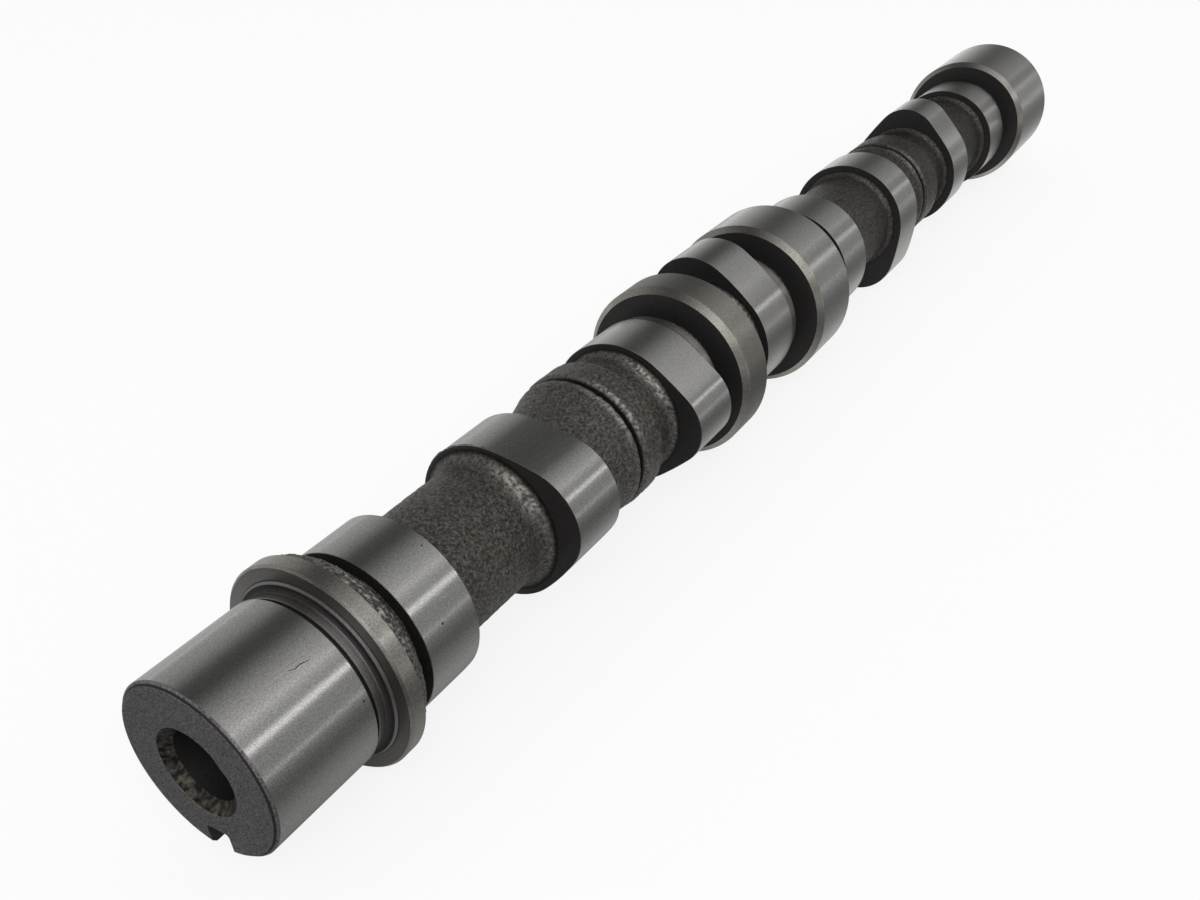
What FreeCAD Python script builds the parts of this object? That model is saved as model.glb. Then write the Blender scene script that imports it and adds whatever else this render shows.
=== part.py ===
import FreeCAD, Part
import math
import os
import re

import Sketcher

# Camshaft of a four-cylinder engine, one casting of grey iron, ground on its seats and lobes.
# Stations run along +X from the nose face and +Z is up. The shaft lies on its three large
# journals. Angles are measured about the shaft from +Y towards +Z. Lengths are in mm.
SIZES = {
    # Front seat, with the bolt hole, its centre and the key slot of the timing wheel
    "nose_radius": 15.0,
    "nose_length": 20.0,
    "nose_chamfer": 0.65,
    "bolt_hole_radius": 6.1,
    "bolt_hole_depth": 36.0,
    "bolt_mouth_radius": 7.65,
    "bolt_mouth_angle": 90.0,
    "drill_point_angle": 118.0,
    "key_width": 4.6,
    "key_floor_radius": 10.9,
    "key_length": 7.0,
    "key_corner": 0.7,
    "key_angle": 262.4,
    # Undercut and relief behind the seat, the boss and the thrust flange with its cast back
    "undercut_radius": 13.9,
    "undercut_length": 0.9,
    "relief_radius": 14.5,
    "relief_length": 2.0,
    "relief_bevel": 0.6,
    "boss_radius": 15.9,
    "boss_bevel": 0.3,
    "boss_length": 0.5,
    "flange_radius": 18.45,
    "flange_chamfer": 0.42,
    "flange_turned_width": 3.0,
    "flange_back_radius": 15.1,
    "flange_back_width": 4.0,
    # Cast core between the seats
    "core_radius": 12.3,
    "core_fillet": 2.8,
    "core_bevel": 1.4,
    "lobe_face_rim": 0.1,
    # Two lobes for each cylinder
    "low_lobe_1_station": 37.9,
    "high_lobe_1_station": 73.3,
    "low_lobe_2_station": 116.3,
    "high_lobe_2_station": 153.3,
    "low_lobe_3_station": 197.0,
    "high_lobe_3_station": 234.0,
    "low_lobe_4_station": 277.6,
    "high_lobe_4_station": 312.8,
    "lobe_base_radius": 15.2,
    "high_lobe_width": 12.5,
    "high_lobe_reach": 19.5,
    "high_lobe_nose_radius": 10.8,
    "high_lobe_flank_radius": 52.0,
    "low_lobe_width": 12.5,
    "front_lobe_width": 11.4,
    "low_lobe_reach": 18.7,
    "low_lobe_nose_radius": 9.2,
    "low_lobe_flank_radius": 90.0,
    "first_lobe_angle": 156.4,
    "firing_step": 90.0,
    "lobe_separation": 109.0,
    # Two cast collars, each a flare, a groove and a ring
    "front_collar_station": 87.0,
    "front_collar_flare": 6.5,
    "front_collar_radius": 14.3,
    "front_collar_ring_width": 6.6,
    "front_collar_ring_radius": 14.8,
    "rear_collar_station": 243.5,
    "rear_collar_flare": 5.0,
    "rear_collar_radius": 13.9,
    "rear_collar_ring_width": 10.0,
    "rear_collar_ring_radius": 14.2,
    "collar_land": 0.8,
    "collar_groove_width": 1.4,
    "collar_groove_depth": 0.9,
    "collar_ring_bevel": 0.6,
    # Run-out shoulders behind the lobes of the second cylinder
    "shoulder_step": 0.7,
    "shoulder_length": 3.3,
    # Large journals, which run in the bearings
    "journal_radius": 19.4,
    "journal_chamfer": 1.2,
    "second_journal_station": 128.7,
    "second_journal_length": 10.1,
    "third_journal_station": 166.4,
    "third_journal_length": 17.0,
    "rear_journal_station": 325.4,
    "rear_journal_length": 29.2,
    "rear_chamfer": 1.75,
    # Centre in the rear face, on which the shaft was ground
    "rear_centre_radius": 4.0,
    "rear_centre_angle": 60.0,
    "rear_drill_radius": 2.0,
    "rear_drill_depth": 8.0,
}

# Quarter turns of each cylinder's lobes from those of the first, front to rear
FIRING_STEPS = (0, -1, 1, 2)

doc = FreeCAD.newDocument("Camshaft")
sheet = doc.addObject("Spreadsheet::Sheet", "Sizes")
for row, (alias, size) in enumerate(SIZES.items(), start=1):
    sheet.set("A%d" % row, alias)
    sheet.set("B%d" % row, str(size))
    sheet.setAlias("B%d" % row, alias)
doc.recompute()


def linked(formula):
    """Return the formula with every size in it read from the sheet."""
    return re.sub(r"\b(%s)\b" % "|".join(SIZES), r"Sizes.\1", formula)


def value(formula):
    return float(sheet.evalExpression(linked(formula)))


def attach(sketch, body, role):
    plane = next(item for item in body.Origin.OriginFeatures if item.Role == role)
    sketch.AttachmentSupport = (plane, "")
    sketch.MapMode = "FlatFace"


def limit(sketch, kind, formula, *where):
    """Add a constraint whose value follows the sheet, or ties the point to an axis at zero."""
    if value(formula) == 0.0 and kind in ("DistanceX", "DistanceY"):
        axis = -2 if kind == "DistanceX" else -1
        sketch.addConstraint(Sketcher.Constraint("PointOnObject", where[-2], where[-1], axis))
        return
    index = sketch.addConstraint(Sketcher.Constraint(kind, *where, value(formula)))
    sketch.setExpression("Constraints[%d]" % index, linked(formula))


def closed_outline(sketch, corners):
    """Draw a closed outline through corners given as pairs of formulas."""
    points = [FreeCAD.Vector(value(across), value(up), 0) for across, up in corners]
    for start, end in zip(points, points[1:] + points[:1]):
        sketch.addGeometry(Part.LineSegment(start, end))
    for index in range(len(points)):
        following = (index + 1) % len(points)
        sketch.addConstraint(Sketcher.Constraint("Coincident", index, 2, following, 1))
    for index, (across, up) in enumerate(corners):
        limit(sketch, "DistanceX", across, -1, 1, index, 1)
        limit(sketch, "DistanceY", up, -1, 1, index, 1)


def section(body, name, outline):
    """Sketch half a section of the shaft, closed along the axis."""
    sketch = body.newObject("Sketcher::SketchObject", name + "_section")
    attach(sketch, body, "XZ_Plane")
    ends = [(station, "0") for station, radius in (outline[0], outline[-1]) if radius != "0"]
    first = ends[:1] if outline[0][1] != "0" else []
    last = ends[-1:] if outline[-1][1] != "0" else []
    closed_outline(sketch, first + outline + last)
    return sketch


def turn(body, name, outline, kind="PartDesign::Revolution"):
    sketch = section(body, name, outline)
    feature = body.newObject(kind, name)
    feature.Profile = sketch
    feature.ReferenceAxis = (sketch, ["H_Axis"])
    feature.Angle = 360.0
    doc.recompute()
    return feature


def front_seat(body):
    turn(body, "nose", [
        ("0", "nose_radius - nose_chamfer"),
        ("nose_chamfer", "nose_radius"),
        ("nose_length", "nose_radius"),
    ])


def thrust_flange(body):
    relief = "nose_length + undercut_length"
    boss = relief + " + relief_length"
    face = boss + " + boss_length"
    turned = face + " + flange_turned_width"
    turn(body, "flange", [
        ("nose_length", "undercut_radius"),
        (relief, "undercut_radius"),
        (relief, "relief_radius"),
        (boss + " - relief_bevel", "relief_radius"),
        (boss, "relief_radius + relief_bevel"),
        (boss, "boss_radius - boss_bevel"),
        (boss + " + boss_bevel", "boss_radius"),
        (face, "boss_radius"),
        (face, "flange_radius - flange_chamfer"),
        (face + " + flange_chamfer", "flange_radius"),
        (turned, "flange_radius"),
        (turned + " + flange_back_width", "flange_back_radius"),
    ])


def core(body):
    turn(body, "core", [
        ("nose_length + undercut_length", "core_radius"),
        ("rear_journal_station + rear_chamfer", "core_radius"),
    ])


def journal(body, name, near_chamfer, far_chamfer):
    near = name + "_station"
    far = near + " + " + name + "_length"
    turn(body, name, [
        (near, "journal_radius - " + near_chamfer),
        (near + " + " + near_chamfer, "journal_radius"),
        (far + " - " + far_chamfer, "journal_radius"),
        (far, "journal_radius - " + far_chamfer),
    ])


def cast_collar(body, name):
    land = name + "_station + " + name + "_flare"
    groove = land + " + collar_land"
    ring = groove + " + collar_groove_width"
    end = ring + " + " + name + "_ring_width"
    floor = name + "_radius - collar_groove_depth"
    turn(body, name, [
        (name + "_station", "core_radius"),
        (land, name + "_radius"),
        (groove, name + "_radius"),
        (groove, floor),
        (ring, floor),
        (ring, name + "_ring_radius - collar_ring_bevel"),
        (ring + " + collar_ring_bevel", name + "_ring_radius"),
        (end, name + "_ring_radius"),
    ])


def shoulder(body, name):
    lobe_end = name + "_2_station + " + name + "_width / 2"
    turn(body, name + "_shoulder", [
        (lobe_end, "lobe_base_radius - shoulder_step"),
        (lobe_end + " + shoulder_length", "lobe_base_radius - shoulder_step"),
    ])


def lobe_outline(sketch, name):
    """Draw base circle, two flanks and nose as four arcs that run into one another."""
    base = value("lobe_base_radius")
    nose = value(name + "_nose_radius")
    flank = value(name + "_flank_radius")
    reach = value(name + "_reach")
    offset = reach - nose
    flank_x = ((flank - base) ** 2 - (flank - nose) ** 2 + offset ** 2) / (2 * offset)
    flank_y = math.sqrt((flank - base) ** 2 - flank_x ** 2)
    base_angle = math.atan2(flank_y, -flank_x)
    nose_angle = math.atan2(flank_y, offset - flank_x)
    up = FreeCAD.Vector(0, 0, 1)
    arcs = [
        (FreeCAD.Vector(offset, 0, 0), nose, -nose_angle, nose_angle),
        (FreeCAD.Vector(flank_x, -flank_y, 0), flank, nose_angle, base_angle),
        (FreeCAD.Vector(0, 0, 0), base, base_angle, 2 * math.pi - base_angle),
        (FreeCAD.Vector(flank_x, flank_y, 0), flank, -base_angle, -nose_angle),
    ]
    for centre, radius, start, end in arcs:
        sketch.addGeometry(Part.ArcOfCircle(Part.Circle(centre, up, radius), start, end))
    for index in range(len(arcs)):
        following = (index + 1) % len(arcs)
        sketch.addConstraint(Sketcher.Constraint("Tangent", index, 2, following, 1))
    sketch.addConstraint(Sketcher.Constraint("Coincident", 2, 3, -1, 1))
    sketch.addConstraint(Sketcher.Constraint("PointOnObject", 0, 3, -1))
    limit(sketch, "DistanceX", name + "_reach - " + name + "_nose_radius", -1, 1, 0, 3)
    limit(sketch, "Radius", name + "_nose_radius", 0)
    limit(sketch, "Radius", name + "_flank_radius", 1)
    limit(sketch, "Radius", "lobe_base_radius", 2)
    limit(sketch, "Radius", name + "_flank_radius", 3)


def stand_across(sketch, body, station, angle):
    """Put a sketch across the shaft at a station, with its own X axis turned to an angle."""
    attach(sketch, body, "YZ_Plane")
    sketch.AttachmentOffset = FreeCAD.Placement(
        FreeCAD.Vector(0, 0, value(station)),
        FreeCAD.Rotation(FreeCAD.Vector(0, 0, 1), value(angle)),
    )
    sketch.setExpression("AttachmentOffset.Base.z", linked(station))
    sketch.setExpression("AttachmentOffset.Rotation.Angle", linked(angle))


def lobe_width(name, cylinder):
    """Name the lobe's width, which is less for the front one because the flange stands close."""
    return "front_lobe_width" if name + str(cylinder) == "low_lobe1" else name + "_width"


def lobe(body, name, cylinder, angle):
    numbered = "%s_%d" % (name, cylinder)
    width = lobe_width(name, cylinder)
    sketch = body.newObject("Sketcher::SketchObject", numbered + "_outline")
    stand_across(sketch, body, numbered + "_station - " + width + " / 2", angle)
    lobe_outline(sketch, name)
    pad = body.newObject("PartDesign::Pad", numbered)
    pad.Profile = sketch
    pad.setExpression("Length", linked(width))
    doc.recompute()


def lobes(body):
    for cylinder, steps in enumerate(FIRING_STEPS, start=1):
        high_angle = "first_lobe_angle + %d * firing_step" % steps
        lobe(body, "high_lobe", cylinder, high_angle)
        lobe(body, "low_lobe", cylinder, high_angle + " + lobe_separation")


def circular_edges(shape, places):
    """Name the circles about the shaft that lie at the given stations and radii."""
    names = []
    for index, edge in enumerate(shape.Edges, start=1):
        if not isinstance(edge.Curve, Part.Circle):
            continue
        centre = edge.Curve.Center
        for station, radius in places:
            along = abs(centre.x - station)
            aside = math.hypot(centre.y, centre.z)
            if along < 1e-4 and aside < 1e-4 and abs(edge.Curve.Radius - radius) < 1e-4:
                names.append("Edge%d" % index)
    return names


def lengthwise_edges(shape, radius):
    """Name the straight edges along the shaft that lie at the given distance from its axis."""
    names = []
    for index, edge in enumerate(shape.Edges, start=1):
        if isinstance(edge.Curve, Part.Line):
            if all(abs(math.hypot(end.Y, end.Z) - radius) < 1e-4 for end in edge.Vertexes):
                names.append("Edge%d" % index)
    return names


def ease_edges(body, name, names, kind, size):
    """Fillet or chamfer the named edges of the body's last shape."""
    if not names:
        raise RuntimeError("no edge found for " + name)
    base = body.Tip
    feature = body.newObject("PartDesign::" + kind, name)
    feature.Base = (base, names)
    feature.setExpression("Radius" if kind == "Fillet" else "Size", linked(size))
    doc.recompute()


def lobe_corners(name, side):
    """Give station and radius of the corners between the core and one side of each lobe."""
    corners = []
    for cylinder in range(1, len(FIRING_STEPS) + 1):
        half = lobe_width(name, cylinder) + " / 2"
        station = "%s_%d_station %s %s" % (name, cylinder, side, half)
        corners.append((value(station), value("core_radius")))
    return corners


def cast_corners(body):
    """Round the core into the near sides of the first three high lobes, and bevel it into the others."""
    room = "lobe_base_radius - core_radius - lobe_face_rim"
    high_sides = lobe_corners("high_lobe", "-")
    rounded = circular_edges(body.Tip.Shape, high_sides[:3])
    ease_edges(body, "cast_fillets", rounded, "Fillet", "min(core_fillet; %s)" % room)
    bevelled = high_sides[3:] + lobe_corners("high_lobe", "+") + lobe_corners("low_lobe", "+")
    bevelled += lobe_corners("low_lobe", "-")[1:]
    names = circular_edges(body.Tip.Shape, bevelled)
    ease_edges(body, "cast_bevels", names, "Chamfer", "min(core_bevel; %s)" % room)


def cut(body, name, make):
    """Make a cut and check that it took material away."""
    before = body.Shape.Volume
    make()
    doc.recompute()
    if body.Shape.Volume > before - 1.0:
        raise RuntimeError(name + " cut nothing")


def bolt_hole(body):
    cone = "(bolt_mouth_radius - bolt_hole_radius) / tan(bolt_mouth_angle / 2 * 1 deg)"
    point = "bolt_hole_radius / tan(drill_point_angle / 2 * 1 deg)"
    turn(body, "bolt_hole", [
        ("0", "bolt_mouth_radius"),
        (cone, "bolt_hole_radius"),
        ("bolt_hole_depth", "bolt_hole_radius"),
        ("bolt_hole_depth + " + point, "0"),
    ], "PartDesign::Groove")


def rear_centre(body):
    end = "rear_journal_station + rear_journal_length"
    cone = "(rear_centre_radius - rear_drill_radius) / tan(rear_centre_angle / 2 * 1 deg)"
    point = "rear_drill_radius / tan(drill_point_angle / 2 * 1 deg)"
    turn(body, "rear_centre", [
        (end + " - rear_drill_depth - " + point, "0"),
        (end + " - rear_drill_depth", "rear_drill_radius"),
        (end + " - " + cone, "rear_drill_radius"),
        (end, "rear_centre_radius"),
    ], "PartDesign::Groove")


def key_slot(body):
    sketch = body.newObject("Sketcher::SketchObject", "key_slot_outline")
    stand_across(sketch, body, "0", "key_angle")
    closed_outline(sketch, [
        ("key_floor_radius", "-key_width / 2"),
        ("nose_radius + nose_chamfer", "-key_width / 2"),
        ("nose_radius + nose_chamfer", "key_width / 2"),
        ("key_floor_radius", "key_width / 2"),
    ])
    pocket = body.newObject("PartDesign::Pocket", "key_slot")
    pocket.Profile = sketch
    pocket.Reversed = True
    pocket.setExpression("Length", linked("key_length"))
    doc.recompute()
    corner = math.hypot(value("key_floor_radius"), value("key_width / 2"))
    names = lengthwise_edges(pocket.Shape, corner)
    ease_edges(body, "key_slot_corners", names, "Fillet", "key_corner")


def camshaft():
    body = doc.addObject("PartDesign::Body", "Camshaft")
    body.Label = "camshaft"
    front_seat(body)
    thrust_flange(body)
    core(body)
    cast_collar(body, "front_collar")
    cast_collar(body, "rear_collar")
    journal(body, "second_journal", "journal_chamfer", "journal_chamfer")
    journal(body, "third_journal", "journal_chamfer", "journal_chamfer")
    journal(body, "rear_journal", "journal_chamfer", "rear_chamfer")
    shoulder(body, "low_lobe")
    shoulder(body, "high_lobe")
    lobes(body)
    cast_corners(body)
    cut(body, "bolt hole", lambda: bolt_hole(body))
    cut(body, "rear centre", lambda: rear_centre(body))
    cut(body, "key slot", lambda: key_slot(body))
    body.Placement = FreeCAD.Placement(FreeCAD.Vector(value("-nose_length / 2"), 0, 0), FreeCAD.Rotation())
    body.setExpression("Placement.Base.x", linked("-nose_length / 2"))
    doc.recompute()
    return body


def check(body):
    for item in doc.Objects:
        if "Invalid" in item.State or "Error" in item.State:
            raise RuntimeError("%s failed: %s" % (item.Name, item.State))
    if body.Shape.isNull() or not body.Shape.isValid() or len(body.Shape.Solids) != 1:
        raise RuntimeError(body.Label + " is not one sound solid")


body = camshaft()
check(body)
os.makedirs("parts", exist_ok=True)
body.Shape.exportStep("parts/%s.step" % body.Label)
box = body.Shape.BoundBox
print("camshaft volume %.1f mm3, x %.2f to %.2f, y %.2f to %.2f, z %.2f to %.2f" % (
    body.Shape.Volume, box.XMin, box.XMax, box.YMin, box.YMax, box.ZMin, box.ZMax))
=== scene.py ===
import math

import bpy
import numpy as np
from mathutils import Matrix, Vector, noise


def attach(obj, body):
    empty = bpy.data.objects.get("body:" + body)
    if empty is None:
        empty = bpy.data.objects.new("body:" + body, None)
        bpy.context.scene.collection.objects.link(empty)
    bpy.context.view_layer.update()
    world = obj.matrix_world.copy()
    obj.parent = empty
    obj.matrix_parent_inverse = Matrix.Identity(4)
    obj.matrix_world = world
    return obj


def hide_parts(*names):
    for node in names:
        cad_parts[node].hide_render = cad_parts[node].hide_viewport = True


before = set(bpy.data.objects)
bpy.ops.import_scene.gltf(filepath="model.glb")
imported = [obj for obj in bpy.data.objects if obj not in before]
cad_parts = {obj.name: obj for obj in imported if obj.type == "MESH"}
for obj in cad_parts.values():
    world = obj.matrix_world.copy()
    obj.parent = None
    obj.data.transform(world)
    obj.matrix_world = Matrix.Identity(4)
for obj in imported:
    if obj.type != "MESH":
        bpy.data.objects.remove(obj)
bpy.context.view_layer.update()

# Cast core. The camshaft is one casting of grey iron, poured in a sand mould. Between the ground
# seats its skin is as it came out of the sand: dark, grainy, torn where it rises into a lobe, and a
# little off the axis that the seats were ground on.
MM = 0.001
NOSE_FACE = -10.0
# Every piece of the shaft runs down to this radius, inside the core or the piece beside it.
BURIED = 10.5

CAST_AROUND = 480
CAST_STEP = 0.3
CAST_CLOSEST = 0.03
CAST_OVERLAP = 0.2
FILLET_TURNS = range(0, 88, 6)
# The mesh is twice as coarse this far behind the nose, where the camera sees less of it.
CAST_TWICE_AS_COARSE = 400.0
CAST_SHIFT = 0.25
CAST_SHIFT_ANGLE = 42.0
SHARP_CORNER = 30.0

# Sizes and heights of the skin's lumps and pits, and of the chips where it is torn
LUMP_SIZE, LUMP_HEIGHT = 2.6, 0.07
SMALL_LUMP_SIZE, SMALL_LUMP_HEIGHT = 0.8, 0.08
PIT_SIZE, PIT_DEPTH, PIT_FROM = 0.45, 0.09, (0.25, 0.5)
CHIP_LENGTH, CHIP_WIDTH = 0.8, 0.6
FINE_CHIP_SIZE, FINE_CHIP_SHARE = 0.36, 0.5
CHIPPED = {"height": 0.08, "bright": 0.8, "shows_from": -0.6}
FLAKED = {"height": 0.2, "bright": 1.0, "shows_from": 0.0}
SHOWS_FULLY = 0.45

# Skin is torn between the top and the foot of a fillet, and less so on the rear half of the shaft.
# Each pair gives where something is not there yet and where it is there in full.
LEAST_TORN_FILLET = 1.0
TORN_TOP = (0.08, 0.3)
TORN_FOOT = (1.6, 0.5)
REAR_LESS_TORN, REAR_LESS_TORN_SPAN = 0.55, (150.0, 200.0)
TORN_BAND, BAND_START, BAND_END = 0.9, (-0.5, 0.3), (0.2, -0.1)
# Painted highlight: torn skin is brightest on the side towards the camera, between these degrees
# from +Y towards +Z.
HIGHLIGHT_FROM, HIGHLIGHT_TO = (88.0, 116.0), (162.0, 136.0)
AWAY_FROM_HIGHLIGHT = 0.2
# Painted shade: near black at the very top of a fillet and in the grooves, and a little darker over
# the rear.
SHADED_FILLET_TOP = (0.06, 0.2)
GROOVE_EDGE = 0.1
REAR_DARKENING, REAR_DARKENING_SPAN = 0.4, (180.0, 250.0)

CAST_STRETCHES = [
    # waist as stations and radii, fillet at its far end, then the first and last stations of the
    # bands of torn skin and of the grooves painted black as shade
    ([(30.2, 12.6), (32.3, 12.6)], 0.3, [], []),
    ([(43.5, 12.2), (67.15, 12.25)], 2.8, [], []),
    ([(79.45, 12.4), (85.0, 12.5), (87.0, 12.7), (90.0, 13.3), (92.5, 14.05), (93.5, 14.4),
      (94.2, 14.45), (94.38, 14.2), (94.42, 13.3), (95.58, 13.3), (95.64, 14.1), (95.85, 14.45),
      (96.2, 14.72), (96.6, 14.8), (101.8, 14.8), (102.2, 14.6), (102.35, 14.3), (102.45, 12.9),
      (102.8, 12.4), (110.15, 12.4)], 2.2,
     [(93.2, 94.3), (95.75, 96.7)], [(94.38, 95.72), (102.3, 102.9)]),
    ([(125.7, 12.4), (128.8, 12.4)], 0.3, [], []),
    ([(138.7, 12.4), (147.15, 12.4)], 2.2, [], []),
    ([(162.7, 12.4), (166.5, 12.4)], 0.3, [], []),
    ([(183.3, 12.4), (190.85, 12.4)], 2.0, [], []),
    ([(203.15, 12.3), (227.85, 12.3)], 1.8, [], []),
    ([(240.15, 12.3), (243.5, 12.4), (246.0, 13.1), (248.3, 13.85), (249.2, 13.9), (249.32, 13.0),
      (250.62, 13.0), (250.7, 13.5), (250.95, 13.95), (251.5, 14.2), (260.1, 14.2), (260.5, 13.95),
      (260.7, 12.7), (261.1, 12.2), (271.45, 12.2)], 1.8,
     [(247.9, 249.2), (250.9, 251.6)], [(249.3, 250.8), (260.6, 261.2)]),
    ([(283.75, 12.3), (306.65, 12.3)], 2.0, [], []),
    ([(318.95, 12.3), (325.5, 12.3)], 1.6, [], []),
]


def on_shaft(station, radius, angle):
    """A point at a station from the nose face, at a radius and an angle from +Y towards +Z."""
    return ((station + NOSE_FACE) * MM, radius * math.cos(angle) * MM,
            radius * math.sin(angle) * MM)


def new_mesh(name, points, faces, finishes=()):
    mesh = bpy.data.meshes.new(name)
    mesh.from_pydata(points, [], faces)
    for finish in finishes:
        mesh.materials.append(finish)
    return mesh


def put_in_scene(name, data):
    """A new object in the scene, made of a mesh, a lamp or a lens."""
    made = bpy.data.objects.new(name, data)
    bpy.context.scene.collection.objects.link(made)
    return made


def rode(piece):
    """Ties a piece of the shaft to its body, and hides the imported camshaft."""
    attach(piece, "root")
    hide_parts("camshaft")


def skin(name, rings, strips, finishes, corner=SHARP_CORNER):
    """Joins rings of points into one surface. strips numbers the finish of each band."""
    count = len(rings[0])
    faces = []
    slots = []
    for row, finish in enumerate(strips):
        low, high = row * count, (row + 1) * count
        for index in range(count):
            after = (index + 1) % count
            faces.append((low + index, low + after, high + after, high + index))
            slots.append(finish)
    mesh = new_mesh(name, [point for ring in rings for point in ring], faces, finishes)
    mesh.polygons.foreach_set("material_index", slots)
    mesh.shade_smooth()
    mesh.set_sharp_from_angle(angle=math.radians(corner))
    mesh.update()
    return put_in_scene(name, mesh)


def close_stations(waist, step, fillet):
    """Stations along a waist: even ones, its own corners, and closer ones up its end fillet."""
    start, end = waist[0][0], waist[-1][0]
    wanted = list(np.arange(start, end - fillet, step)) + [station for station, radius in waist]
    wanted += [end - fillet * (1.0 - math.sin(math.radians(turn))) for turn in FILLET_TURNS]
    kept = []
    for station in sorted(wanted):
        if not kept or station - kept[-1] > CAST_CLOSEST:
            kept.append(station)
    return [start - CAST_OVERLAP] + kept + [end + CAST_OVERLAP]


def ease(none, full, value):
    """Zero up to one limit, one from the other on, and smooth between. Either may be the lower."""
    share = min(1.0, max(0.0, (value - none) / (full - none)))
    return share * share * (3.0 - 2.0 * share)


def tearing(station, left, fillet, bands, flaked):
    """How far the skin has come away at a station, with left to go to the end of the fillet."""
    torn_and_highlit = 1.0 if flaked else 0.0
    if fillet > LEAST_TORN_FILLET:
        torn_and_highlit = (ease(TORN_TOP[0] * fillet, TORN_TOP[1] * fillet, left)
                * ease(TORN_FOOT[0] * fillet, TORN_FOOT[1] * fillet, left)
                * (1.0 - REAR_LESS_TORN * ease(*REAR_LESS_TORN_SPAN, station)))
    for first, last in bands:
        inside = ease(*BAND_START, station - first) * ease(*BAND_END, station - last)
        torn_and_highlit = max(torn_and_highlit, TORN_BAND * inside)
    return torn_and_highlit


def cast_stretch(name, waist, fillet, bands, grooves, step, around, finish, flaked=False):
    """A stretch of cast skin, with its tearing, made brighter by a painted highlight on the side
    towards the camera, and its painted shade stored at each point.

    Flaked skin is broken all over. Grooves are smooth and painted black as shade.
    """
    end = waist[-1][0]
    known, radii = zip(*waist)
    shift_y = CAST_SHIFT * math.cos(math.radians(CAST_SHIFT_ANGLE))
    shift_z = CAST_SHIFT * math.sin(math.radians(CAST_SHIFT_ANGLE))
    chips = FLAKED if flaked else CHIPPED
    rings = []
    torn_and_highlit = []
    painted_shade = []
    for station in close_stations(waist, step, fillet):
        left = max(0.0, end - station)
        up = 1.0 - min(1.0, left / fillet)
        base = float(np.interp(station, known, radii)) + fillet * (1.0 - math.sqrt(1.0 - up ** 2))
        tear = tearing(station, left, fillet, bands, flaked)
        black = 0.0
        for first, last in grooves:
            black = max(black, ease(first - GROOVE_EDGE, first, station)
                        * ease(last + GROOVE_EDGE, last, station))
        top = 0.0
        if fillet > LEAST_TORN_FILLET:
            top = 1.0 - ease(SHADED_FILLET_TOP[0] * fillet, SHADED_FILLET_TOP[1] * fillet, left)
        painted_shade += [max(top, black, REAR_DARKENING * ease(*REAR_DARKENING_SPAN, station))] * around
        ring = []
        for index in range(around):
            angle = 2 * math.pi * index / around
            y, z = base * math.cos(angle), base * math.sin(angle)
            place = Vector((station, y, z))
            lump = (LUMP_HEIGHT * noise.noise(place / LUMP_SIZE)
                    + SMALL_LUMP_HEIGHT * noise.noise(place / SMALL_LUMP_SIZE))
            pit = PIT_DEPTH * ease(*PIT_FROM, noise.noise(place / PIT_SIZE))
            chip = (noise.noise(Vector((station / CHIP_LENGTH, y / CHIP_WIDTH, z / CHIP_WIDTH)))
                    + FINE_CHIP_SHARE * noise.noise(place / FINE_CHIP_SIZE))
            radius = base + (1.0 - black) * (lump + tear * chips["height"] * chip - pit)
            ring.append(((station + NOSE_FACE) * MM, (radius * math.cos(angle) + shift_y) * MM,
                         (radius * math.sin(angle) + shift_z) * MM))
            turn = math.degrees(angle)
            # Painted highlight: torn skin is brighter on the side towards the camera.
            lit_side = ease(*HIGHLIGHT_FROM, turn) * ease(*HIGHLIGHT_TO, turn)
            torn_and_highlit.append(chips["bright"] * (AWAY_FROM_HIGHLIGHT + (1.0 - AWAY_FROM_HIGHLIGHT) * lit_side) * tear
                        * ease(chips["shows_from"], SHOWS_FULLY, chip))
        rings.append(ring)
    piece = skin(name, rings, [0] * (len(rings) - 1), [finish], corner=180.0)
    for title, values in (("torn_and_highlit", torn_and_highlit), ("painted_shade", painted_shade)):
        layer = piece.data.attributes.new(title, "FLOAT", "POINT")
        layer.data.foreach_set("value", values)
    return piece


def linear(colour):
    """An sRGB hex colour as linear red, green, blue and alpha."""
    parts = [int(colour[i:i + 2], 16) / 255 for i in (1, 3, 5)]
    return [p / 12.92 if p <= 0.04045 else ((p + 0.055) / 1.055) ** 2.4 for p in parts] + [1.0]


def add(tree, kind, inputs=None, **settings):
    """Adds a node with its settings, and links or values for its inputs."""
    made = tree.nodes.new(kind)
    for name, value in settings.items():
        setattr(made, name, value)
    for name, value in (inputs or {}).items():
        if isinstance(value, bpy.types.NodeSocket):
            tree.links.new(value, made.inputs[name])
        else:
            made.inputs[name].default_value = value
    return made


def new_finish(name, **shader):
    """A material with one shader, whose plain values are set on its own sockets."""
    finish = bpy.data.materials.new(name)
    finish.use_nodes = True
    tree = finish.node_tree
    surface = tree.nodes["Principled BSDF"]
    for socket, value in shader.items():
        surface.inputs[socket.replace("_", " ")].default_value = value
    return finish, tree, surface


def shade(ramp, stops):
    """Sets the stops of a colour ramp from places and colours."""
    steps = ramp.color_ramp.elements
    while len(steps) < len(stops):
        steps.new(1.0)
    for step, (place, colour) in zip(steps, stops):
        step.position = place
        step.color = colour


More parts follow.
